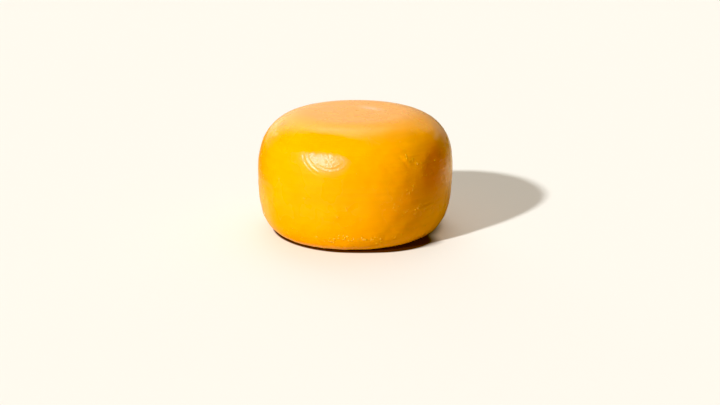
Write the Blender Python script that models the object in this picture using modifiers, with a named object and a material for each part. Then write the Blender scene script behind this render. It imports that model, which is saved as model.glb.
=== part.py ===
"""A small waxed gouda, whole and uncut: a low round wheel with a nearly flat top,
a bulging side, and a foot that rounds in to the flat face it rests on.

Metres, +Z up. The origin is at the middle of the face it rests on, and the wheel's axis is Z.
"""

import math

import bpy

# Main sizes of the wheel.
DIAMETER = 0.105
HEIGHT = 0.0630
RADIUS = DIAMETER / 2

# The side is widest a little below half height, where the curd settled in its mould.
BELLY_HEIGHT = 0.477 * HEIGHT
TOP_FLAT_RADIUS = 0.442 * RADIUS
FOOT_FLAT_RADIUS = 0.74 * RADIUS

# Exponents of the two rounded corners: 2 is a plain ellipse, more is squarer.
SHOULDER_SQUARENESS = 2.52
FOOT_SQUARENESS = 2.56

# Points along each stretch of the turned profile, and steps round the axis.
SHOULDER_POINTS = 20
FOOT_POINTS = 15
TOP_RINGS = 5
BASE_RINGS = 4
TURN_STEPS = 84

# The wheel leans a little towards +X: metres sideways for each metre up.
LEAN = 0.0175

# The side swells in and out in slow waves: (waves round the wheel, depth, phase in degrees).
SIDE_WAVES = ((2, 0.00020, 90), (3, 0.00015, 90))
TOP_SAG = 0.0003

# Shallow hollows left by handling: (direction in degrees from +X, height, width, depth). A depth below
# zero is a swelling instead, where the foot spread a little.
HOLLOWS = (
    (250, 0.0460, 0.022, 0.00035),
    (314, 0.0400, 0.024, 0.00035),
    (205, 0.0240, 0.022, 0.00030),
    (20, 0.0380, 0.020, 0.00035),
    (75, 0.0280, 0.026, 0.00040),
    (130, 0.0410, 0.020, 0.00035),
    (230, 0.0080, 0.040, -0.00100),
    (285, 0.0060, 0.034, 0.00030),
)

WAX_COLOUR = (0.93, 0.33, 0.005, 1.0)
WAX_ROUGHNESS = 0.32


def rounded_corner(angle, squareness):
    """Cosine and sine of an angle, each raised to 2 / squareness: a quarter superellipse of size 1."""
    power = 2 / squareness
    return abs(math.cos(angle)) ** power, math.sin(angle) ** power


def wheel_profile():
    """Half section of the wheel as (radius, height), from the middle of the top to the middle of the base."""
    points = [(TOP_FLAT_RADIUS * ring / TOP_RINGS, HEIGHT) for ring in range(TOP_RINGS)]
    for step in range(SHOULDER_POINTS + 1):
        out, up = rounded_corner(math.pi / 2 * (1 - step / SHOULDER_POINTS), SHOULDER_SQUARENESS)
        radius = TOP_FLAT_RADIUS + (RADIUS - TOP_FLAT_RADIUS) * out
        points.append((radius, BELLY_HEIGHT + (HEIGHT - BELLY_HEIGHT) * up))
    for step in range(1, FOOT_POINTS + 1):
        out, down = rounded_corner(math.pi / 2 * step / FOOT_POINTS, FOOT_SQUARENESS)
        radius = FOOT_FLAT_RADIUS + (RADIUS - FOOT_FLAT_RADIUS) * out
        points.append((radius, BELLY_HEIGHT * (1 - down)))
    for ring in range(BASE_RINGS - 1, -1, -1):
        points.append((FOOT_FLAT_RADIUS * ring / BASE_RINGS, 0.0))
    return points


def side_unevenness(angle, height):
    """How far the side stands out past the turned shape, at an angle round the axis and a height."""
    shift = 0.0
    for waves, depth, phase in SIDE_WAVES:
        wave = math.cos(waves * angle + math.radians(phase))
        shift += depth * wave * math.sin(math.pi * height / HEIGHT)
    for direction, middle, width, depth in HOLLOWS:
        sideways = math.remainder(angle - math.radians(direction), math.tau) * RADIUS
        distance = math.hypot(sideways, height - middle) / (width / 2)
        shift -= depth * math.exp(-distance ** 2)
    return shift


def top_unevenness(x, y):
    """How far the top sinks: a shallow dish, a little off centre, that fades out at the shoulder."""
    distance = math.hypot(x - 0.1 * RADIUS, y + 0.05 * RADIUS) / (0.55 * RADIUS)
    return -TOP_SAG * math.exp(-distance ** 2)


def turned_wheel(collection):
    """The profile as an open line of edges, turned once round Z by a Screw modifier."""
    points = wheel_profile()
    mesh = bpy.data.meshes.new("turned_profile")
    vertices = [(radius, 0.0, height) for radius, height in points]
    edges = [(index, index + 1) for index in range(len(points) - 1)]
    mesh.from_pydata(vertices, edges, [])
    turned = bpy.data.objects.new("turned_profile", mesh)
    collection.objects.link(turned)
    screw = turned.modifiers.new("Turn", "SCREW")
    screw.axis = "Z"
    screw.angle = math.tau
    screw.steps = TURN_STEPS
    screw.render_steps = TURN_STEPS
    screw.use_merge_vertices = True
    screw.merge_threshold = 0.00005
    return turned


def applied_mesh(turned, name):
    """A mesh of what the modifier makes. The profile object is then removed."""
    depsgraph = bpy.context.evaluated_depsgraph_get()
    mesh = bpy.data.meshes.new_from_object(turned.evaluated_get(depsgraph))
    mesh.name = name
    bpy.data.objects.remove(turned, do_unlink=True)
    return mesh


def make_uneven(mesh):
    """Move the points of the side in or out, sink the top and lean the wheel. The base stays flat."""
    for vertex in mesh.vertices:
        x, y, z = vertex.co
        radius = math.hypot(x, y)
        if radius > 0:
            shift = side_unevenness(math.atan2(y, x), z) * (radius / RADIUS) ** 2
            x += shift * x / radius
            y += shift * y / radius
        if z > BELLY_HEIGHT:
            z += top_unevenness(x, y)
        vertex.co = (x + LEAN * z, y, z)


def centre_on_origin(mesh):
    """Slide the wheel so that the middle of its width and depth is on the Z axis."""
    for axis in range(2):
        places = [vertex.co[axis] for vertex in mesh.vertices]
        middle = (min(places) + max(places)) / 2
        for vertex in mesh.vertices:
            vertex.co[axis] -= middle


def wax_material():
    """Yellow wax with a satin shine."""
    material = bpy.data.materials.new("yellow_wax")
    material.use_nodes = True
    shader = material.node_tree.nodes["Principled BSDF"]
    shader.inputs["Base Color"].default_value = WAX_COLOUR
    shader.inputs["Roughness"].default_value = WAX_ROUGHNESS
    shader.inputs["Metallic"].default_value = 0.0
    return material


def build_gouda():
    """The whole cheese as one solid."""
    for old in list(bpy.data.objects):
        bpy.data.objects.remove(old, do_unlink=True)
    collection = bpy.data.collections.new("waxed_gouda")
    bpy.context.scene.collection.children.link(collection)

    mesh = applied_mesh(turned_wheel(collection), "cheese_wheel")
    make_uneven(mesh)
    centre_on_origin(mesh)
    mesh.shade_smooth()
    mesh.materials.clear()
    mesh.materials.append(wax_material())
    wheel = bpy.data.objects.new("cheese_wheel", mesh)
    collection.objects.link(wheel)


build_gouda()
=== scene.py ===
"""Looks of a small gouda in a yellow wax coat: a hand-dipped satin skin with wrinkles and bubbles."""
import math

import bpy
import mathutils
import numpy as np
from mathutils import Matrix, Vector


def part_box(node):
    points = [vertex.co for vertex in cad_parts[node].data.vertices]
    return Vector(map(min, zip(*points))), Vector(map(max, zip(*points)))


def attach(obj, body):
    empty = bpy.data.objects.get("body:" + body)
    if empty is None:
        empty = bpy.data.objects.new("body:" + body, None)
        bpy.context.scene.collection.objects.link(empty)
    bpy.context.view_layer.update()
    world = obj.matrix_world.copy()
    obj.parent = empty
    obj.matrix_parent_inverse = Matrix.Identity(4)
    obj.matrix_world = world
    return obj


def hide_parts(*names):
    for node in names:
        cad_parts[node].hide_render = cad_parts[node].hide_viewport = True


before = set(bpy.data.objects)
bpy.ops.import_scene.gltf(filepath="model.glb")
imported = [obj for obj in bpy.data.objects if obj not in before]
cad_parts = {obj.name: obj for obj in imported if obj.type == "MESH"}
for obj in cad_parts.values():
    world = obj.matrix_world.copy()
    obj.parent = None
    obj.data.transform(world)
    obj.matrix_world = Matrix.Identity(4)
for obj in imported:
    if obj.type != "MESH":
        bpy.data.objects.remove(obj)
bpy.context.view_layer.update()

# The cheese wheel: curd pressed in a round mould, brined and ripened for a few weeks, which leaves a
# low wheel with a nearly flat top, a bulging side and a rounded foot. It stands on its flat base,
# leans a little to +X, and has the slow unevenness of a thing that is turned and handled daily.
WHEEL_RADIUS = 0.0525
WHEEL_HEIGHT = 0.0630
BELLY_HEIGHT = 0.477 * WHEEL_HEIGHT
TOP_FLAT_RADIUS = 0.442 * WHEEL_RADIUS
FOOT_FLAT_RADIUS = 0.74 * WHEEL_RADIUS
SHOULDER_SQUARENESS = 2.52
FOOT_SQUARENESS = 2.56
SECTION_STEPS = 900
WHEEL_LEAN = 0.0175
# Slow waves round the side: (waves in a turn, depth, phase in degrees).
SIDE_WAVES = ((2, 0.00020, 90), (3, 0.00015, 90))
# The shallow dish in the top, a little off the middle.
DISH_DEPTH = 0.0003
DISH_RADIUS = 0.55 * WHEEL_RADIUS
DISH_MIDDLE = (0.1 * WHEEL_RADIUS, -0.05 * WHEEL_RADIUS)
# Hollows in the side: (direction in degrees, height, width, depth). Below zero is a swelling.
HOLLOWS = (
    (250, 0.0460, 0.022, 0.00035),
    (314, 0.0400, 0.024, 0.00035),
    (205, 0.0240, 0.022, 0.00030),
    (20, 0.0380, 0.020, 0.00035),
    (75, 0.0280, 0.026, 0.00040),
    (130, 0.0410, 0.020, 0.00035),
    (230, 0.0080, 0.040, -0.00100),
    (285, 0.0060, 0.034, 0.00030),
)


def half_section():
    """Radius, height and running length of the wheel's half section, from the middle of the top
    to the middle of the base: a flat, a quarter superellipse down to the belly, another in to the
    foot, and a flat. A quarter superellipse is cosine and sine raised to 2 / squareness."""
    turn = np.linspace(0, math.pi / 2, SECTION_STEPS)
    shoulder_out = np.sin(turn) ** (2 / SHOULDER_SQUARENESS)
    shoulder_up = np.cos(turn) ** (2 / SHOULDER_SQUARENESS)
    foot_out = np.abs(np.cos(turn)) ** (2 / FOOT_SQUARENESS)
    foot_down = np.sin(turn) ** (2 / FOOT_SQUARENESS)
    flat = np.linspace(0, 1, SECTION_STEPS // 3)
    radius = np.concatenate([
        flat * TOP_FLAT_RADIUS,
        TOP_FLAT_RADIUS + (WHEEL_RADIUS - TOP_FLAT_RADIUS) * shoulder_out[1:],
        FOOT_FLAT_RADIUS + (WHEEL_RADIUS - FOOT_FLAT_RADIUS) * foot_out[1:],
        (1 - flat[1:]) * FOOT_FLAT_RADIUS,
    ])
    height = np.concatenate([
        np.full(len(flat), WHEEL_HEIGHT),
        BELLY_HEIGHT + (WHEEL_HEIGHT - BELLY_HEIGHT) * shoulder_up[1:],
        BELLY_HEIGHT * (1 - foot_down[1:]),
        np.zeros(len(flat) - 1),
    ])
    length = np.concatenate([[0], np.cumsum(np.hypot(np.diff(radius), np.diff(height)))])
    return radius, height, length


section_radius, section_height, section_length = half_section()
FOOT_EDGE_LENGTH = section_length[-1] - FOOT_FLAT_RADIUS


def wheel_point(direction, length):
    """Place and outward normal at an angle round the axis and a running length down the section.
    The normal is the section's own, turned a quarter turn outwards and spun round the axis."""
    radius = np.interp(length, section_length, section_radius)
    height = np.interp(length, section_length, section_height)
    reach = 0.0004
    slope_out = np.interp(length + reach, section_length, section_radius) - np.interp(
        length - reach, section_length, section_radius)
    slope_up = np.interp(length + reach, section_length, section_height) - np.interp(
        length - reach, section_length, section_height)
    size = np.maximum(np.hypot(slope_out, slope_up), 1e-9)
    normal_out = -slope_up / size
    normal_up = slope_out / size
    place = np.stack([radius * np.cos(direction), radius * np.sin(direction), height], axis=-1)
    normal = np.stack([normal_out * np.cos(direction), normal_out * np.sin(direction), normal_up], axis=-1)
    return place, normal


def turn_from(bearing, direction):
    """Turn from a bearing in degrees to a direction in radians, within half a turn either way."""
    return (direction - math.radians(bearing) + math.pi) % math.tau - math.pi


def wheel_unevenness(place):
    """The wheel's slow unevenness as a shift of each point: waves round the side, round hollows that
    fall off as exp(-distance squared), a shallow dish in the top, and the lean in step with height."""
    x, y, z = place[..., 0], place[..., 1], place[..., 2]
    radius = np.maximum(np.hypot(x, y), 1e-9)
    direction = np.arctan2(y, x)
    out = np.zeros_like(x)
    for waves, depth, phase in SIDE_WAVES:
        out += depth * np.cos(waves * direction + math.radians(phase)) * np.sin(math.pi * z / WHEEL_HEIGHT)
    for bearing, middle, width, depth in HOLLOWS:
        distance = np.hypot(turn_from(bearing, direction) * WHEEL_RADIUS, z - middle) / (width / 2)
        out -= depth * np.exp(-distance ** 2)
    out *= (radius / WHEEL_RADIUS) ** 2
    dish = np.hypot(x - DISH_MIDDLE[0], y - DISH_MIDDLE[1]) / DISH_RADIUS
    down = np.where(z > BELLY_HEIGHT, -DISH_DEPTH * np.exp(-dish ** 2), 0)
    return np.stack([out * x / radius + WHEEL_LEAN * (z - BELLY_HEIGHT), out * y / radius, down], axis=-1)


# The wax coat: the wheel is dipped twice in melted yellow wax, each time held by the other half.
# It sets as a satin skin about a millimetre thick, with slow orange peel, a lap line round the
# middle, wrinkles where warm wax slid and folded, and brush scuffs. It stands for the whole solid.
WAX_COLUMNS = 540
TOP_ROWS = 15
SIDE_ROWS = 157
BASE_ROWS = 9
SIDE_START = 0.021
SIDE_END = FOOT_EDGE_LENGTH + 0.001
# The relief fades out at the edge of the base, which stays flat.
RELIEF_END = FOOT_EDGE_LENGTH - 0.001
RELIEF_FADE = 0.004
# Orange peel: (wavelength, height, seed) of each kind of wave. It fades between two heights.
PEEL_WAVES = ((0.0095, 0.000045, 11), (0.0055, 0.000022, 12), (0.0030, 0.000004, 13))
PEEL_HEADINGS = 20
PEEL_SPREAD = (0.8, 1.25)
PEEL_FADE_HEIGHTS = (0.0560, 0.0615)
PEEL_FADE = (1.0, 0.16)
# The low pool of wax on the top.
POOL_HEIGHT = 0.0007
POOL_RADIUS = 0.030
# The lap line, where the two dips meet: a ridge that comes and goes, and a step up to the half above.
LAP_LENGTH = 0.0716
LAP_HEIGHT = 0.00007
LAP_WIDTH = 0.0007
LAP_STEP = 0.4 * LAP_HEIGHT
LAP_EVENNESS = 0.55
# How the lap line wanders: (waves in a turn, phase in radians, metres).
LAP_WANDER = ((2, 0.6, 0.0010), (5, 0.0, 0.0006))
# Wrinkle fields: (direction in degrees, running length, half width, half height, spacing, depth,
# bearing of the strongest side in degrees, spread of that side).
WRINKLES = (
    (296.0, 0.0560, 0.0110, 0.0075, 0.0034, 0.000035, 250, 60),
    (62.0, 0.0560, 0.0100, 0.0080, 0.0030, 0.000050, 300, 65),
    (158.0, 0.0640, 0.0120, 0.0085, 0.0032, 0.000045, 230, 60),
)
# The wrinkles lie in a soft band just outside their oval, and bend a little.
WRINKLE_MIDDLE = 1.12
WRINKLE_BAND = 0.30
WRINKLE_BEND = 0.35
# Single creases: (direction, running length, half length, bearing in degrees, width, height).
CREASES = (
    (274.9, 0.0543, 0.0055, -50, 0.0007, 0.00008),
    (304.5, 0.0566, 0.0052, -33, 0.0009, 0.00010),
    (313.5, 0.0812, 0.0048, 14, 0.0005, -0.00016),
    (314.0, 0.0822, 0.0044, 16, 0.0005, 0.00016),
    (315.0, 0.0836, 0.0030, 12, 0.0005, -0.00012),
    (299.0, 0.0568, 0.0040, -55, 0.0009, -0.00016),
    (301.5, 0.0562, 0.0036, -48, 0.0009, 0.00016),
    (270.5, 0.0708, 0.0060, 0, 0.0006, 0.00004),
    (232.0, 0.0617, 0.0040, -38, 0.0008, 0.00006),
    (273.5, 0.0835, 0.0038, 2, 0.0006, 0.00005),
    (273.0, 0.0862, 0.0034, -3, 0.0006, 0.00005),
    (20.0, 0.0700, 0.0060, 15, 0.0009, -0.00008),
    (98.0, 0.0880, 0.0070, -8, 0.0008, 0.00007),
    (140.0, 0.0500, 0.0050, 35, 0.0008, 0.00008),
    (188.0, 0.0790, 0.0050, -20, 0.0008, 0.00007),
)
# How fast a crease bows away from straight, in metres for each square metre along it.
CREASE_BOW = 6
# Patches of deeper colour. Most of those on the front are painted shade, darkening the wax on the right
# side, low at the front and along the left rim, where less light falls; those at the back are deeper wax.
# (direction, running length, half width, half height, strength).
DEEP_AND_SHADE_PATCHES = (
    (324.0, 0.0565, 0.0075, 0.0090, 0.80),
    (332.5, 0.0600, 0.0055, 0.0100, 0.25),
    (199.0, 0.0408, 0.0034, 0.0026, 0.45),
    (323.0, 0.0700, 0.0080, 0.0120, 0.58),
    (305.0, 0.0750, 0.0100, 0.0200, 0.50),
    (190.0, 0.0740, 0.0130, 0.0220, 0.15),
    (315.5, 0.0655, 0.0055, 0.0085, 0.75),
    (290.0, 0.0850, 0.0090, 0.0120, 0.20),
    (297.0, 0.0640, 0.0050, 0.0090, 0.18),
    (230.0, 0.0900, 0.0160, 0.0110, 0.12),
    (203.0, 0.0600, 0.0120, 0.0130, 0.18),
    (232.0, 0.0490, 0.0180, 0.0090, 0.18),
    (100.0, 0.0620, 0.0120, 0.0090, 0.5),
    (175.0, 0.0780, 0.0140, 0.0080, 0.4),
    (40.0, 0.0850, 0.0110, 0.0070, 0.4),
)
# Patches scored by the brush: (direction, running length, half width, half height, strength).
SCORED_PATCHES = (
    (315.0, 0.0825, 0.0070, 0.0030, 1.0),
    (303.0, 0.0575, 0.0080, 0.0070, 0.45),
    (326.0, 0.0700, 0.0080, 0.0120, 0.35),
    (262.0, 0.0640, 0.0060, 0.0040, 0.30),
    (60.0, 0.0700, 0.0090, 0.0060, 0.6),
    (150.0, 0.0820, 0.0080, 0.0040, 0.6),
)
# Paler spots: the first, on a drop at the left shoulder, is a painted highlight; the others are where the
# wax is scuffed or thick. (direction, running length, half width, half height, slant in degrees,
# strength).
PALE_AND_HIGHLIGHT_SPOTS = (
    (203.5, 0.0474, 0.0026, 0.0013, 10, 0.30),
    (188.0, 0.0436, 0.0012, 0.0010, 0, 0.30),
    (98.0, 0.0400, 0.0050, 0.0020, -15, 0.40),
    (335.0, 0.0480, 0.0040, 0.0015, 20, 0.25),
)
# Pale streaks across the top; the first and strongest is a painted reflection: (x, y, half length,
# half width, slant in degrees, strength).
TOP_STREAKS_AND_REFLECTION = (
    (0.0085, 0.0070, 0.0068, 0.0029, -42, 0.58),
    (0.0110, -0.0055, 0.0050, 0.0007, 10, 0.16),
    (-0.0150, 0.0120, 0.0100, 0.0012, 12, 0.10),
    (0.0010, -0.0180, 0.0090, 0.0010, -8, 0.12),
)
# Soft swellings and dents of the coat: (direction, running length, half width, half height, height).
SOFT_FORMS = (
    (333.0, 0.0660, 0.0110, 0.0130, -0.00015),
    (252.0, 0.0615, 0.0120, 0.0085, 0.00050),
    (346.0, 0.0500, 0.0160, 0.0100, 0.00080),
)
# Thick spots, where a drop of wax set: (direction, running length, half width, half height, height).
DROPS = (
    (201.5, 0.0466, 0.0020, 0.0014, 0.00030),
    (260.6, 0.0825, 0.0010, 0.0007, 0.00016),
    (15.0, 0.0500, 0.0017, 0.0021, 0.00022),
    (110.0, 0.0470, 0.0022, 0.0016, 0.00025),
    (337.0, 0.0905, 0.0016, 0.0011, 0.00018),
)
# Drops and pale spots are flatter inside and end sooner than a bell curve: the power of its exponent.
DROP_POWER = 1.5


def grid_lengths():
    """Running lengths of the mesh rows: wide on the flat of the top, close on the side, wide below."""
    top = np.linspace(0, SIDE_START, TOP_ROWS + 1)[1:]
    side = np.linspace(SIDE_START, SIDE_END, SIDE_ROWS + 1)[1:]
    base = np.linspace(SIDE_END, section_length[-1], BASE_ROWS + 1)[1:-1]
    return np.concatenate([top, side, base])


def local_place(direction, length, radius, bearing, middle):
    """Metres sideways and down the section from a middle point on the side."""
    return turn_from(bearing, direction) * radius, length - middle


def slanted(across, down, slant):
    """A flat place turned by a slant in degrees: metres along the slant, and metres off it."""
    angle = math.radians(slant)
    along = across * math.cos(angle) - down * math.sin(angle)
    off = across * math.sin(angle) + down * math.cos(angle)
    return along, off


def patch_cover(patches, direction, length, radius, power=1):
    """How far a list of patches, each a soft oval on the side, covers a point. An oval is
    exp(-(distance squared) ** power), with the distance in half widths and half heights."""
    total = np.zeros_like(direction)
    for bearing, middle, wide, tall, share in patches:
        across, down = local_place(direction, length, radius, bearing, middle)
        total += share * np.exp(-((across / wide) ** 2 + (down / tall) ** 2) ** power)
    return total


def pale_and_highlight_cover(direction, length, place):
    """How far the paler spots and the streaks of the top cover a point: soft slanted ovals. They hold
    scuffs, a painted highlight and a painted reflection.
    """
    x, y, z = place[..., 0], place[..., 1], place[..., 2]
    total = np.zeros_like(direction)
    for bearing, middle, wide, tall, slant, share in PALE_AND_HIGHLIGHT_SPOTS:
        along, off = slanted(*local_place(direction, length, np.hypot(x, y), bearing, middle), slant)
        total += share * np.exp(-((along / wide) ** 2 + (off / tall) ** 2) ** DROP_POWER)
    for middle_x, middle_y, wide, tall, slant, share in TOP_STREAKS_AND_REFLECTION:
        along, off = slanted(x - middle_x, y - middle_y, -slant)
        streak = share * np.exp(-(along / wide) ** 2 - (off / tall) ** 2)
        total += np.where(z > BELLY_HEIGHT, streak, 0)
    return total


def peel(place):
    """Orange peel: for each wavelength, a sum of cosine waves in random directions in space."""
    total = np.zeros(place.shape[:-1])
    for wavelength, depth, seed in PEEL_WAVES:
        draw = np.random.default_rng(seed)
        for _ in range(PEEL_HEADINGS):
            heading = draw.normal(size=3)
            heading *= math.tau / wavelength * draw.uniform(*PEEL_SPREAD) / np.linalg.norm(heading)
            wave = np.cos(place @ heading + draw.uniform(0, math.tau))
            total += depth / math.sqrt(PEEL_HEADINGS / 2) * wave
    return total


def wrinkle_height(direction, length, radius):
    """Rings round each wrinkle field: a cosine of the distance from the middle in its own oval,
    strongest at one side and in a soft band just outside the oval."""
    total = np.zeros_like(direction)
    for bearing, middle, wide, tall, spacing, depth, strongest, spread in WRINKLES:
        across, down = local_place(direction, length, radius, bearing, middle)
        reach = np.hypot(across / wide, down / tall)
        facing = turn_from(strongest, np.arctan2(-down / tall, across / wide))
        side = np.exp(-(facing / math.radians(spread)) ** 2)
        band = np.exp(-((reach - WRINKLE_MIDDLE) / WRINKLE_BAND) ** 2)
        bend = WRINKLE_BEND * np.sin(3 * facing + 7 * bearing)
        rings = np.cos(math.tau * (reach - 1) * (wide + tall) / 2 / spacing + bend)
        total += depth * side * band * rings
    return total


def crease_height(direction, length, radius):
    """Single creases: each a bell curve across a slightly bowed line that fades at both ends."""
    total = np.zeros_like(direction)
    for bearing, middle, half, slant, width, depth in CREASES:
        along, off = slanted(*local_place(direction, length, radius, bearing, middle), slant)
        off -= CREASE_BOW * along ** 2
        total += depth * np.exp(-(off / width) ** 2 - (along / half) ** 4)
    return total


def lap_height(direction, length):
    """The lap line: a bell-shaped ridge of changing strength on a wandering line, and a soft step."""
    line = np.full_like(direction, LAP_LENGTH)
    for waves, phase, reach in LAP_WANDER:
        line += reach * np.sin(waves * direction + phase)
    past = (length - line) / LAP_WIDTH
    strength = LAP_EVENNESS + (1 - LAP_EVENNESS) * np.sin(3 * direction + 0.9)
    return LAP_HEIGHT * strength * np.exp(-past ** 2) + LAP_STEP / (1 + np.exp(past))


def wax_relief(direction, length, place):
    """Height of the wax over the wheel: peel, the pool on the top, the lap line, wrinkles, creases,
    soft forms and drops."""
    z = place[..., 2]
    radius = np.hypot(place[..., 0], place[..., 1])
    height = peel(place) * np.interp(z, PEEL_FADE_HEIGHTS, PEEL_FADE)
    height += np.where(z > BELLY_HEIGHT, POOL_HEIGHT * np.exp(-(radius / POOL_RADIUS) ** 2), 0)
    height += lap_height(direction, length)
    height += wrinkle_height(direction, length, radius)
    height += crease_height(direction, length, radius)
    height += patch_cover(SOFT_FORMS, direction, length, radius)
    height += patch_cover(DROPS, direction, length, radius, DROP_POWER)
    return height


def coat_surface(direction, length):
    """A point of the coat: the wheel's point, its unevenness, and the relief along its normal."""
    place, normal = wheel_point(direction, length)
    relief = wax_relief(direction, length, place)
    relief *= np.clip((RELIEF_END - length) / RELIEF_FADE, 0, 1)
    return place + wheel_unevenness(place) + relief[..., None] * normal


def smooth_mesh(name, points, faces):
    """A smooth-shaded mesh from an array of points and a list of faces."""
    mesh = bpy.data.meshes.new(name)
    mesh.from_pydata(points.tolist(), [], faces)
    mesh.polygons.foreach_set("use_smooth", np.ones(len(mesh.polygons), dtype=bool))
    mesh.update()
    return mesh


def grid_mesh(name, rows, top_pole, base_pole):
    """A closed mesh from rings of points, each ring joined to the next, and a pole at each end."""
    ring_count, column_count = rows.shape[:2]
    points = np.concatenate([rows.reshape(-1, 3), top_pole[None], base_pole[None]])
    index = np.arange(ring_count * column_count).reshape(ring_count, column_count)
    after = np.roll(index, -1, axis=1)
    quads = np.stack([index[:-1], index[1:], after[1:], after[:-1]], axis=-1).reshape(-1, 4)
    top = ring_count * column_count
    top_fan = np.stack([np.full(column_count, top), index[0], after[0]], axis=-1)
    base_fan = np.stack([np.full(column_count, top + 1), after[-1], index[-1]], axis=-1)
    return smooth_mesh(name, points, quads.tolist() + top_fan.tolist() + base_fan.tolist())


def add_object(name, data):
    """A new object in the scene for a mesh, a light or a camera."""
    thing = bpy.data.objects.new(name, data)
    bpy.context.scene.collection.objects.link(thing)
    return thing


direction_grid, length_grid = np.meshgrid(
    np.arange(WAX_COLUMNS) * math.tau / WAX_COLUMNS, grid_lengths())
coat_rows = coat_surface(direction_grid, length_grid)
coat_top = coat_surface(np.zeros(1), np.zeros(1))[0]
coat_base = coat_surface(np.zeros(1), np.full(1, section_length[-1]))[0]
coat_radius = np.hypot(coat_rows[..., 0], coat_rows[..., 1])
node_low, node_high = (np.array(corner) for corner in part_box("cheese_wheel"))
to_node = (node_low + node_high - coat_rows.min(axis=(0, 1)) - coat_rows.max(axis=(0, 1))) / 2
to_node[2] = node_low[2]
coat_mesh = grid_mesh("wax_coat", coat_rows + to_node, coat_top + to_node, coat_base + to_node)
coat_marks = (
    # The pale mark holds scuffs, a painted highlight and a painted reflection.
    ("pale", pale_and_highlight_cover(direction_grid, length_grid, coat_rows)),
    # The deep mark holds deeper wax and painted shade.
    ("deep", patch_cover(DEEP_AND_SHADE_PATCHES, direction_grid, length_grid, coat_radius)),
    ("scored", patch_cover(SCORED_PATCHES, direction_grid, length_grid, coat_radius)),
)
for mark_name, cover in coat_marks:
    mark = coat_mesh.attributes.new(mark_name, "FLOAT", "POINT")
    mark.data.foreach_set("value", np.append(cover.ravel(), (0.0, 0.0)).astype(np.float32))
wax_coat = add_object("wax_coat", coat_mesh)

WAX_YELLOW = (0.948, 0.366, 0.001, 1)
# A deeper orange, for mottling and for painted shade.
WAX_DEEP_AND_SHADE = (0.83, 0.207, 0.001, 1)
# A paler colour, for scuffs and for a painted highlight and reflection.
WAX_PALE_AND_HIGHLIGHT = (0.97, 0.62, 0.34, 1)
# A pinkish painted highlight tint for the ripple's oval.
WAX_HIGHLIGHT_TINT = (0.97, 0.33, 0.30, 1)
WAX_ROUGHNESS = (0.25, 0.30)
SPECULAR_TINT = (1.0, 0.78, 1.0, 1)
SCATTER_SHARE = 0.15
SCATTER_COLOUR = (1.0, 0.4, 0.05)
SCATTER_DEPTH = 0.002
# Noise of each look: (scale, detail, stretch in Z).
MOTTLE_NOISE = (38, 3, 1)
SHADE_NOISE = (55, 2, 1)
STREAK_NOISE = (26, 3, 16)
ROUGHNESS_NOISE = (60, 3, 1)
GRAIN_NOISE = (900, 3, 1)
BRUSH_NOISE = (60, 4, 14)
CRACKLE_NOISE = (750, 4, 1)
RAGGED_NOISE = (420, 3, 1)
# How far mottling changes the depth of the colour, and blotches and level streaks its brightness.
MOTTLE_REACH = 0.12
SHADE_REACH = 0.04
STREAK_REACH = 0.045
# Heights between which the calm, unbrushed top turns into the side, and the mottling left on the top.
CALM_HEIGHTS = (0.0625, 0.0590)
BRUSH_HEIGHTS = (0.0620, 0.0590)
TOP_MOTTLE = 0.3
# Bump heights, in units of BUMP_DISTANCE.
BUMP_DISTANCE = 0.0001
GRAIN_HEIGHT = 0.20
BRUSH_HEIGHT = 0.75
BRUSH_HEIGHT_DEEP = 1.5
SCORE_HEIGHT = 6.0
RIPPLE_HEIGHT = 0.68
CRACKLE_HEIGHT = 2.8
# The ripple: where warm wax slid down the front shoulder and dried in rings round a dull oval.
RIPPLE_PLACE = (-0.0130, -0.0459, 0.0516)
RIPPLE_BEARING = 252.0
RIPPLE_TILT = 59.5
RIPPLE_SLANT = 21.0
RIPPLE_SIZE = (0.0110, 0.0083, 0.012)
RIPPLE_SPACING = 0.25
OVAL_RAGGEDNESS = 0.30
# How far the oval's colour goes towards the pinkish painted highlight tint.
OVAL_HIGHLIGHT_TINT = 0.14
OVAL_DULLNESS = 0.085
ABOVE_SMOOTHNESS = 0.15


def feed(tree, socket, value):
    """Set a socket to a number or a colour, or link another socket to it."""
    if isinstance(value, (int, float, tuple)):
        socket.default_value = value
    else:
        tree.links.new(value, socket)


def math_in(tree, kind, *values):
    """One Math node in a tree, fed by numbers or sockets."""
    node = tree.nodes.new("ShaderNodeMath")
    node.operation = kind
    for socket, value in zip(node.inputs, values):
        feed(tree, socket, value)
    return node.outputs["Value"]


def product_in(tree, first, *factors):
    """The product of numbers or sockets, one Math node for each factor after the first."""
    for factor in factors:
        first = math_in(tree, "MULTIPLY", first, factor)
    return first


def step_in(tree, value, start, end, low=0.0, high=1.0):
    """A smooth step from low to high as a value goes from start to end."""
    node = tree.nodes.new("ShaderNodeMapRange")
    node.interpolation_type = "SMOOTHSTEP"
    node.inputs["From Min"].default_value = start
    node.inputs["From Max"].default_value = end
    node.inputs["To Min"].default_value = low
    node.inputs["To Max"].default_value = high
    tree.links.new(value, node.inputs["Value"])
    return node.outputs["Result"]


def mix_in(tree, share, first, second):
    """A colour that goes from the first to the second as the share goes from 0 to 1."""
    node = tree.nodes.new("ShaderNodeMix")
    node.data_type = "RGBA"
    feed(tree, node.inputs[0], share)
    feed(tree, node.inputs[6], first)
    feed(tree, node.inputs[7], second)
    return node.outputs[2]


def split_in(tree, vector):
    """X, Y and Z of a vector, as sockets."""
    node = tree.nodes.new("ShaderNodeSeparateXYZ")
    tree.links.new(vector, node.inputs["Vector"])
    return node.outputs["X"], node.outputs["Y"], node.outputs["Z"]


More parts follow.
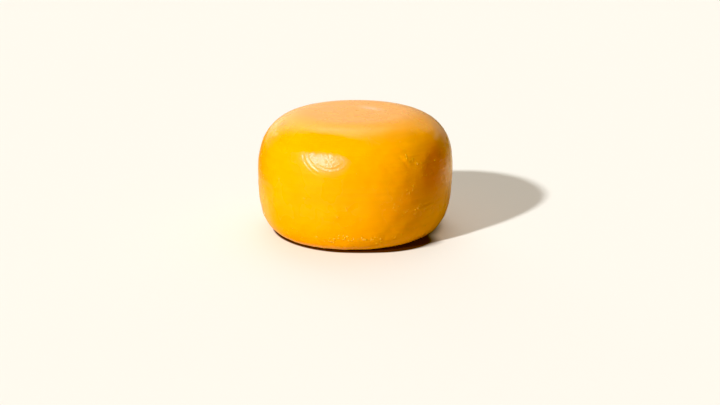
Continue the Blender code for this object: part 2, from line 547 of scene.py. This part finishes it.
def noise_in(tree, vector, kind):
    """Noise of one of the kinds above, about 0.2 to 0.8, read at a vector."""
    scale, detail, stretch = kind
    turn = tree.nodes.new("ShaderNodeMapping")
    turn.inputs["Scale"].default_value = (1, 1, stretch)
    tree.links.new(vector, turn.inputs["Vector"])
    texture = tree.nodes.new("ShaderNodeTexNoise")
    texture.inputs["Scale"].default_value = scale
    texture.inputs["Detail"].default_value = detail
    tree.links.new(turn.outputs["Vector"], texture.inputs["Vector"])
    return texture.outputs["Fac"]


def ripple_turn():
    """Turn of the ripple's own axes: X along the slanted rings, Y up the shoulder, Z out of the wax."""
    bearing = math.radians(RIPPLE_BEARING)
    tilt = math.radians(RIPPLE_TILT)
    slant = math.radians(RIPPLE_SLANT)
    across = mathutils.Vector((-math.sin(bearing), math.cos(bearing), 0))
    out = mathutils.Vector((
        math.sin(tilt) * math.cos(bearing), math.sin(tilt) * math.sin(bearing), math.cos(tilt)))
    upward = out.cross(across)
    slanted_across = math.cos(slant) * across - math.sin(slant) * upward
    slanted_upward = math.sin(slant) * across + math.cos(slant) * upward
    return mathutils.Matrix((slanted_across, slanted_upward, out)).transposed().to_euler()


def ripple_group():
    """Rings of a dried ripple as a height, the dull oval inside them as a mask, and a mask of the
    smooth wax above it. The rings are a sine of the distance from the middle, in ovals of RIPPLE_SIZE,
    on the lower left side alone. The oval's upper edge is an arch, made ragged by noise."""
    group = bpy.data.node_groups.new("dried_ripple", "ShaderNodeTree")
    for socket in ("Height", "Oval", "Above"):
        group.interface.new_socket(name=socket, in_out="OUTPUT", socket_type="NodeSocketFloat")
    result = group.nodes.new("NodeGroupOutput")
    place = group.nodes.new("ShaderNodeTexCoord").outputs["Object"]
    local = group.nodes.new("ShaderNodeMapping")
    local.vector_type = "TEXTURE"
    local.inputs["Location"].default_value = RIPPLE_PLACE
    local.inputs["Rotation"].default_value = ripple_turn()
    local.inputs["Scale"].default_value = RIPPLE_SIZE
    group.links.new(place, local.inputs["Vector"])
    x, y, z = split_in(group, local.outputs["Vector"])
    reach = math_in(group, "SQRT", math_in(group, "MULTIPLY_ADD", x, x, product_in(group, y, y)))
    level = math_in(group, "MULTIPLY_ADD", x, -0.47, math_in(group, "MULTIPLY", y, 0.93))
    near = step_in(group, math_in(group, "ABSOLUTE", z), 1.6, 1.0)

    past = math_in(group, "SUBTRACT", reach, 1.0)
    wave = math_in(group, "SINE", math_in(group, "MULTIPLY", past, -math.tau / RIPPLE_SPACING))
    inner_end = step_in(group, math_in(group, "MULTIPLY_ADD", x, 0.22, reach), 0.70, 0.84)
    outer_end = step_in(group, reach, 1.55, 1.20)
    lower_side = step_in(group, level, 0.12, -0.15)
    left_side = math_in(
        group, "MAXIMUM", step_in(group, reach, 1.06, 0.94), step_in(group, x, 0.15, -0.25))
    right_end = step_in(group, math_in(group, "MULTIPLY_ADD", x, 0.5, level), 0.15, -0.25)
    rings = product_in(group, wave, inner_end, outer_end, lower_side, left_side, right_end, near)
    group.links.new(rings, result.inputs["Height"])

    right = math_in(group, "MAXIMUM", x, 0.0)
    arch = math_in(group, "MULTIPLY_ADD", product_in(group, right, right), 0.22, level)
    arch = math_in(group, "SUBTRACT", arch, OVAL_RAGGEDNESS / 2)
    arch = math_in(
        group, "MULTIPLY_ADD", noise_in(group, place, RAGGED_NOISE), OVAL_RAGGEDNESS, arch)
    skewed = math_in(group, "MULTIPLY_ADD", x, 0.18, reach)
    oval = product_in(group, step_in(group, skewed, 1.44, 0.86), step_in(group, arch, 0.22, -0.06), near)
    group.links.new(oval, result.inputs["Oval"])
    above = product_in(group, step_in(group, arch, 0.02, 0.20), step_in(group, reach, 2.4, 1.3), near)
    group.links.new(above, result.inputs["Above"])
    return group


def wax_material(name, colour, roughness):
    """Satin wax. The colour has slow mottling, deep patches that are mostly painted shade, pale patches
    that are partly a painted highlight and reflection, a painted pinkish highlight tint in the ripple's
    oval, and faint blotches and level streaks. The bump holds fine grain, brush lines that are deeper in
    the scored patches, and the dried ripple, whose oval is duller and crackled."""
    material = bpy.data.materials.new(name)
    material.use_nodes = True
    tree = material.node_tree
    shader = tree.nodes["Principled BSDF"]
    place = tree.nodes.new("ShaderNodeTexCoord").outputs["Object"]
    ripple = tree.nodes.new("ShaderNodeGroup")
    ripple.node_tree = ripple_group()

    def marked(mark_name):
        """What an attribute of the mesh holds."""
        node = tree.nodes.new("ShaderNodeAttribute")
        node.attribute_name = mark_name
        return node.outputs["Fac"]

    def spread_noise(kind, low, high):
        """Noise spread out over a range."""
        node = tree.nodes.new("ShaderNodeMapRange")
        node.inputs["From Min"].default_value = 0.2
        node.inputs["From Max"].default_value = 0.8
        node.inputs["To Min"].default_value = low
        node.inputs["To Max"].default_value = high
        tree.links.new(noise_in(tree, place, kind), node.inputs["Value"])
        return node.outputs["Result"]

    def plus(first, second):
        """The sum of two numbers or sockets."""
        return math_in(tree, "ADD", first, second)

    def times(*factors):
        """The product of numbers or sockets."""
        return product_in(tree, *factors)

    z = split_in(tree, place)[2]
    calm = step_in(tree, z, *CALM_HEIGHTS, TOP_MOTTLE, 1.0)
    # Deeper colour: slow mottling, and the deep mark, which is mostly painted shade.
    deep = marked("deep")
    depth = plus(deep, times(spread_noise(MOTTLE_NOISE, -MOTTLE_REACH, MOTTLE_REACH), calm))
    wax = mix_in(tree, depth, colour, WAX_DEEP_AND_SHADE)
    # Paler colour: scuffs, and a painted highlight and reflection.
    wax = mix_in(tree, marked("pale"), wax, WAX_PALE_AND_HIGHLIGHT)
    # A painted highlight: the oval, where the sun's highlight falls, is tinted towards pinkish white.
    wax = mix_in(tree, times(ripple.outputs["Oval"], OVAL_HIGHLIGHT_TINT), wax, WAX_HIGHLIGHT_TINT)
    shade = plus(
        spread_noise(SHADE_NOISE, -SHADE_REACH, SHADE_REACH),
        spread_noise(STREAK_NOISE, -STREAK_REACH, STREAK_REACH))
    tint = tree.nodes.new("ShaderNodeHueSaturation")
    tree.links.new(wax, tint.inputs["Color"])
    tree.links.new(plus(times(shade, calm), 1.0), tint.inputs["Value"])
    tree.links.new(tint.outputs["Color"], shader.inputs["Base Color"])

    dull = plus(spread_noise(ROUGHNESS_NOISE, *roughness), times(ripple.outputs["Oval"], OVAL_DULLNESS))
    dull = plus(dull, times(ripple.outputs["Above"], -ABOVE_SMOOTHNESS))
    tree.links.new(dull, shader.inputs["Roughness"])

    brushed = step_in(tree, z, *BRUSH_HEIGHTS)
    brush_height = times(brushed, plus(times(deep, BRUSH_HEIGHT_DEEP), BRUSH_HEIGHT))
    brush_height = plus(brush_height, times(marked("scored"), SCORE_HEIGHT))
    height = times(noise_in(tree, place, GRAIN_NOISE), brushed, GRAIN_HEIGHT)
    height = plus(height, times(noise_in(tree, place, BRUSH_NOISE), brush_height))
    height = plus(height, times(ripple.outputs["Height"], RIPPLE_HEIGHT))
    crackle = times(noise_in(tree, place, CRACKLE_NOISE), ripple.outputs["Oval"], CRACKLE_HEIGHT)
    bump = tree.nodes.new("ShaderNodeBump")
    bump.inputs["Strength"].default_value = 1.0
    bump.inputs["Distance"].default_value = BUMP_DISTANCE
    tree.links.new(plus(height, crackle), bump.inputs["Height"])
    tree.links.new(bump.outputs["Normal"], shader.inputs["Normal"])

    shader.inputs["IOR"].default_value = 1.45
    shader.inputs["Specular Tint"].default_value = SPECULAR_TINT
    shader.inputs["Subsurface Weight"].default_value = SCATTER_SHARE
    shader.inputs["Subsurface Radius"].default_value = SCATTER_COLOUR
    shader.inputs["Subsurface Scale"].default_value = SCATTER_DEPTH
    return material


coat_mesh.materials.append(wax_material("yellow_wax", WAX_YELLOW, WAX_ROUGHNESS))
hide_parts("cheese_wheel")
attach(wax_coat, "root")

# The bubbles: air that the dip left in the wax and that set as low round lumps, about half a
# millimetre to a millimetre across. They are of the same wax in a paler yellow, which partly paints the
# glints they catch, in loose strings along the folds of the shoulder, in a band above the foot, and a few
# anywhere.
# Strings: (first direction, its running length, last direction, its running length, spread, count, size).
BUBBLE_STRINGS = (
    (299.0, 0.0533, 311.0, 0.0602, 0.0010, 18, 0.9),
    (311.5, 0.0650, 318.0, 0.0665, 0.0012, 6, 0.9),
    (303.0, 0.0715, 291.0, 0.0790, 0.0011, 14, 0.9),
    (299.0, 0.0830, 312.0, 0.0805, 0.0016, 18, 0.9),
    (247.0, 0.0962, 284.0, 0.0962, 0.0011, 30, 1.0),
    (261.0, 0.0955, 269.0, 0.0958, 0.0008, 12, 1.1),
    (273.0, 0.0955, 282.0, 0.0960, 0.0009, 14, 1.2),
    (255.0, 0.0978, 259.0, 0.0970, 0.0008, 7, 1.4),
    (260.2, 0.0831, 261.0, 0.0831, 0.0004, 2, 1.0),
    (264.0, 0.0785, 266.0, 0.0795, 0.0004, 3, 1.0),
    (221.0, 0.0942, 237.0, 0.0950, 0.0012, 5, 1.0),
    (286.0, 0.0970, 298.0, 0.0940, 0.0016, 9, 1.0),
    (20.0, 0.0560, 42.0, 0.0600, 0.0014, 22, 1.0),
    (60.0, 0.0950, 105.0, 0.0965, 0.0012, 40, 1.2),
    (120.0, 0.0700, 150.0, 0.0800, 0.0030, 26, 1.0),
    (165.0, 0.0960, 200.0, 0.0955, 0.0012, 30, 1.2),
    (185.0, 0.0550, 196.0, 0.0650, 0.0020, 12, 0.9),
    (330.0, 0.0850, 355.0, 0.0930, 0.0030, 20, 1.0),
)
LOOSE_BUBBLES = 90
LOOSE_LENGTHS = (0.050, 0.099)
BUBBLE_SEED = 21
BUBBLE_SIZE = (0.00022, 0.00052)
BUBBLE_STRETCH = (0.8, 1.9)
BUBBLE_SIDES = 7
# How deep a bubble sits, the size and height of its inner ring, and the heights of its two poles, all
# in its own radii.
BUBBLE_SUNK = 0.2
BUBBLE_INNER = 0.62
BUBBLE_INNER_HEIGHT = 0.50
BUBBLE_TOP = 0.65
BUBBLE_BOTTOM = -0.5
# A paler yellow than the coat: partly the bubbles' own colour, partly a painted glint.
BUBBLE_PALE_GLINT_YELLOW = (0.98, 0.43, 0.035, 1)
BUBBLE_ROUGHNESS = (0.12, 0.16)


def bubble_places():
    """Direction, running length, radius and sideways stretch of each bubble: even steps along each
    string with a random spread, then loose ones all over the side."""
    draw = np.random.default_rng(BUBBLE_SEED)
    directions, lengths, shares = [], [], []
    for start, start_length, end, end_length, spread, count, size in BUBBLE_STRINGS:
        share = (np.arange(count) + draw.uniform(-0.5, 0.5, count)) / max(count - 1, 1)
        aside = draw.normal(0, 1, (2, count)) * spread
        directions.append(np.radians(start + share * (end - start)) + aside[0] / WHEEL_RADIUS)
        lengths.append(start_length + share * (end_length - start_length) + aside[1])
        shares.append(np.full(count, size))
    directions.append(draw.uniform(0, math.tau, LOOSE_BUBBLES))
    lengths.append(draw.uniform(*LOOSE_LENGTHS, LOOSE_BUBBLES))
    shares.append(np.ones(LOOSE_BUBBLES))
    directions, lengths = np.concatenate(directions), np.concatenate(lengths)
    smallest, largest = BUBBLE_SIZE
    sizes = smallest + (largest - smallest) * draw.random(len(lengths)) ** 2
    sizes *= np.concatenate(shares)
    stretches = draw.uniform(*BUBBLE_STRETCH, len(lengths))
    return directions, lengths, sizes, stretches


def bubble_mesh(directions, lengths, sizes, stretches):
    """All bubbles as one mesh. Each is a low dome of two rings and a pole, closed by a pole below,
    set on the coat along its normal and sunk a fifth of its radius."""
    normal = wheel_point(directions, lengths)[1]
    centre = coat_surface(directions, lengths) + to_node - BUBBLE_SUNK * sizes[:, None] * normal
    across = np.stack([-np.sin(directions), np.cos(directions), np.zeros_like(directions)], axis=-1)
    down = np.cross(across, normal)
    across *= stretches[:, None]
    turn = np.arange(BUBBLE_SIDES) * math.tau / BUBBLE_SIDES
    ring = np.stack([np.cos(turn), np.sin(turn)], axis=-1)
    flat = np.concatenate([[[0, 0]], ring * BUBBLE_INNER, ring, [[0, 0]]])
    rise = np.concatenate([
        [BUBBLE_TOP], np.full(BUBBLE_SIDES, BUBBLE_INNER_HEIGHT), np.zeros(BUBBLE_SIDES), [BUBBLE_BOTTOM]])
    sideways = flat[None, :, :1] * across[:, None]
    downwards = flat[None, :, 1:] * down[:, None]
    outwards = rise[None, :, None] * normal[:, None]
    points = centre[:, None] + sizes[:, None, None] * (sideways + downwards + outwards)
    inner = 1 + np.arange(BUBBLE_SIDES)
    inner_next = np.roll(inner, -1)
    outer, outer_next = inner + BUBBLE_SIDES, inner_next + BUBBLE_SIDES
    top = np.zeros(BUBBLE_SIDES, dtype=int)
    bottom = np.full(BUBBLE_SIDES, 2 * BUBBLE_SIDES + 1)
    faces = np.concatenate([
        np.stack([top, inner_next, inner], axis=-1),
        np.stack([inner, inner_next, outer_next], axis=-1),
        np.stack([inner, outer_next, outer], axis=-1),
        np.stack([bottom, outer, outer_next], axis=-1),
    ])
    offset = np.arange(len(sizes)) * points.shape[1]
    faces = (faces[None] + offset[:, None, None]).reshape(-1, 3)
    return smooth_mesh("wax_bubbles", points.reshape(-1, 3), faces.tolist())


bubbles_mesh = bubble_mesh(*bubble_places())
wax_bubbles = add_object("wax_bubbles", bubbles_mesh)
bubbles_mesh.materials.append(wax_material("pale_wax_painted_glint", BUBBLE_PALE_GLINT_YELLOW, BUBBLE_ROUGHNESS))
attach(wax_bubbles, "root")

# The studio: a plain pale floor, a sun from the front left, pale walls and a bright sky behind that show
# in the top, and a dim surround. The camera looks a little down on the wheel.
FLOOR_HALF_WIDTH = 7.0
FLOOR_CORNERS = ((-1, -1), (1, -1), (1, 1), (-1, 1))
# The floor as it lights the wheel, as the camera sees it, and as the wax mirrors its dim parts.
FLOOR_COLOUR = (0.74, 0.68, 0.54, 1)
FLOOR_SEEN = (0.675, 0.665, 0.655, 1)
FLOOR_DIM = (0.02, 0.02, 0.02, 1)
# A glow of painted light: it lifts the floor's shadows for the camera and shows in the wheel's right side.
FLOOR_GLOW = (0.195, 0.145, 0.09, 1)
# A warm dark shadow painted on the floor under the rounded foot, where the light doesn't reach.
PAINTED_SHADOW_COLOUR = (0.05, 0.012, 0.002, 1)
PAINTED_SHADOW_GLOW = (0.012, 0.002, 0.0, 1)
PAINTED_SHADOW_RADIUS = 0.0454
PAINTED_SHADOW_SOFTNESS = 0.0007


def floor_looks(material):
    """The floor's shader: a pale colour, a warm dark shadow painted under the wheel's foot, a soft glow of
    painted light that lifts the floor's shadows in the picture, and dim parts in what the wax mirrors of
    it. Each part is a product of smooth steps in X, Y and the distance from the foot's middle."""
    material.use_nodes = True
    tree = material.node_tree
    shader = tree.nodes["Principled BSDF"]
    shader.inputs["Roughness"].default_value = 1.0
    shader.inputs["Specular IOR Level"].default_value = 0.0
    ray = tree.nodes.new("ShaderNodeLightPath")
    seen, mirrored = ray.outputs["Is Camera Ray"], ray.outputs["Is Glossy Ray"]
    x, y, _ = split_in(tree, tree.nodes.new("ShaderNodeTexCoord").outputs["Object"])

    # The painted shadow reaches out a little further at the front right, and its edge is softer at the
    # right.
    bulge = product_in(tree, step_in(tree, x, -0.010, 0.020, 0, 0.0085), step_in(tree, y, -0.018, -0.032))
    sideways = math_in(tree, "SUBTRACT", x, bulge)
    forward = math_in(tree, "ADD", y, 0.0008)
    from_foot = math_in(tree, "SQRT", math_in(
        tree, "MULTIPLY_ADD", forward, forward, product_in(tree, sideways, sideways)))
    edge = product_in(
        tree, math_in(tree, "SUBTRACT", from_foot, PAINTED_SHADOW_RADIUS), step_in(tree, x, 0.022, 0.042, 1.0, 0.16))
    painted_shadow = product_in(tree, step_in(tree, edge, PAINTED_SHADOW_SOFTNESS, -PAINTED_SHADOW_SOFTNESS), seen)

    # The mirrored floor is dim in front of a line behind the wheel, apart from the part at its left.
    front = step_in(tree, math_in(tree, "MULTIPLY_ADD", x, 0.18, y), 0.078, 0.052)
    left_part = product_in(
        tree, step_in(tree, x, -0.030, -0.042, 0.0, 0.74),
        step_in(tree, math_in(tree, "MULTIPLY_ADD", x, 0.60, y), -0.062, -0.035))
    dim = product_in(tree, front, math_in(tree, "SUBTRACT", 1.0, left_part))
    # It is dim far out at both sides as well, and brighter again close to the foot.
    dim = math_in(tree, "MAXIMUM", dim, step_in(tree, x, 0.11, 0.24))
    dim = math_in(tree, "MAXIMUM", dim, step_in(tree, x, -0.085, -0.128))
    close = product_in(
        tree, step_in(tree, from_foot, 0.0475, 0.0450), step_in(tree, x, 0.012, -0.012, 0.25, 0.75))
    dim = product_in(tree, dim, math_in(tree, "SUBTRACT", 1.0, close), mirrored)

    colour = mix_in(tree, dim, FLOOR_COLOUR, FLOOR_DIM)
    colour = mix_in(tree, seen, colour, FLOOR_SEEN)
    # The painted shadow turns the floor's colour and glow dark and warm under the foot.
    tree.links.new(mix_in(tree, painted_shadow, colour, PAINTED_SHADOW_COLOUR), shader.inputs["Base Color"])
    tree.links.new(mix_in(tree, painted_shadow, FLOOR_GLOW, PAINTED_SHADOW_GLOW), shader.inputs["Emission Color"])

    # The glow shows to the camera, and as a reflection in the wheel's right side.
    right_glow = product_in(
        tree, mirrored, step_in(tree, x, 0.02, 0.07), step_in(tree, from_foot, 0.056, 0.080, 0, 0.75),
        step_in(tree, x, 0.20, 0.11, 0.5, 1.0))
    tree.links.new(math_in(tree, "MAXIMUM", seen, right_glow), shader.inputs["Emission Strength"])


floor_mesh = bpy.data.meshes.new("floor")
floor_mesh.from_pydata(
    [(side * FLOOR_HALF_WIDTH, front * FLOOR_HALF_WIDTH, 0) for side, front in FLOOR_CORNERS],
    [], [(0, 1, 2, 3)])
floor = add_object("floor", floor_mesh)
floor_material = bpy.data.materials.new("pale_floor")
floor_looks(floor_material)
floor_mesh.materials.append(floor_material)

# The sun's bearing is counted to the left from the camera's side.
SUN_BEARING = 49
SUN_ELEVATION = 31.5
sun_light = bpy.data.lights.new("sun", "SUN")
sun_light.energy = 4.5
sun_light.angle = math.radians(3)
sun_light.color = (1.0, 1.02, 0.98)
sun = add_object("sun", sun_light)
sun.rotation_euler = (math.radians(90 - SUN_ELEVATION), 0, math.radians(-SUN_BEARING))

SKY_COLOUR = (0.97, 0.985, 0.95, 1)
SKY_BASE = 0.08
WALL_STRENGTH = 0.77
SKYLIGHT_STRENGTH = 1.75
SIDE_WALL_STRENGTH = 0.44
OVERHEAD_STRENGTH = 0.62
BACK_RIGHT_STRENGTH = 0.74
BACKDROP_STRENGTH = 0.9
world = bpy.data.worlds.new("studio")
bpy.context.scene.world = world
world.use_nodes = True
sky = world.node_tree


def sky_step(angle, start, end, low=0.0, high=1.0):
    """A smooth step from low to high as an angle of the sky goes from start to end, in degrees."""
    return step_in(sky, angle, math.radians(start), math.radians(end), low, high)


# The azimuth is 0 straight behind the wheel and grows to the right.
sky_x, sky_y, sky_z = split_in(sky, sky.nodes.new("ShaderNodeTexCoord").outputs["Generated"])
azimuth = math_in(sky, "ARCTAN2", sky_x, sky_y)
elevation = math_in(sky, "ARCSINE", sky_z)
# The wall behind, brighter to the left, and the skylight above it.
wall = product_in(
    sky, sky_step(azimuth, -43, -28), sky_step(azimuth, 28, 6),
    sky_step(azimuth, 12, -8, 0.46, 1.0), sky_step(azimuth, -6, -26, 1.0, 1.5),
    sky_step(elevation, 62, 40), sky_step(elevation, 26, 10, 1.0, 1.12))
skylight = product_in(
    sky, sky_step(azimuth, -34, -14), sky_step(azimuth, 28, 4),
    sky_step(elevation, 36, 50), sky_step(elevation, 86, 74))
# A dimmer wall behind at the right.
side_wall = product_in(
    sky, sky_step(azimuth, 12, 26), sky_step(azimuth, 50, 32), sky_step(elevation, 50, 30))
lit = math_in(sky, "MULTIPLY_ADD", skylight, SKYLIGHT_STRENGTH, SKY_BASE)
lit = math_in(sky, "MULTIPLY_ADD", wall, WALL_STRENGTH, lit)
lit = math_in(sky, "MULTIPLY_ADD", side_wall, SIDE_WALL_STRENGTH, lit)
# Fill light from overhead and from the back right. It lights the wax, but the wax doesn't mirror it.
back_right = product_in(
    sky, sky_step(azimuth, -10, 20), sky_step(azimuth, 90, 60),
    sky_step(elevation, 30, 50, 0, BACK_RIGHT_STRENGTH))
fill = math_in(sky, "ADD", sky_step(elevation, 50, 75, 0, OVERHEAD_STRENGTH), back_right)
sky_ray = sky.nodes.new("ShaderNodeLightPath")
lit = math_in(sky, "MULTIPLY_ADD", fill, sky_ray.outputs["Is Diffuse Ray"], lit)
# The camera sees an even backdrop.
backdrop = sky.nodes.new("ShaderNodeMix")
backdrop.data_type = "FLOAT"
sky.links.new(sky_ray.outputs["Is Camera Ray"], backdrop.inputs[0])
sky.links.new(lit, backdrop.inputs[2])
backdrop.inputs[3].default_value = BACKDROP_STRENGTH
background = sky.nodes["Background"]
sky.links.new(backdrop.outputs[0], background.inputs["Strength"])
background.inputs["Color"].default_value = SKY_COLOUR

PHOTO_WIDTH = 720
FOCAL_PIXELS = 1000
CAMERA_PLACE = (0.00267, -0.52252, 0.18183)
CAMERA_DOWN = 18
camera_data = bpy.data.cameras.new("camera")
camera_data.sensor_width = 36
camera_data.lens = camera_data.sensor_width * FOCAL_PIXELS / PHOTO_WIDTH
camera_data.clip_start = 0.01
camera_data.clip_end = 50
camera = add_object("camera", camera_data)
camera.location = CAMERA_PLACE
camera.rotation_euler = (math.radians(90 - CAMERA_DOWN), 0, 0)
bpy.context.scene.camera = camera

# The view: plain colours, with the last trace of blue taken out of the deep yellows.
BLACK_LEVEL = (0.0, 0.0, 0.012)
view = bpy.context.scene.view_settings
view.view_transform = "Standard"
view.look = "None"
view.use_curve_mapping = True
view.curve_mapping.black_level = BLACK_LEVEL
view.curve_mapping.update()
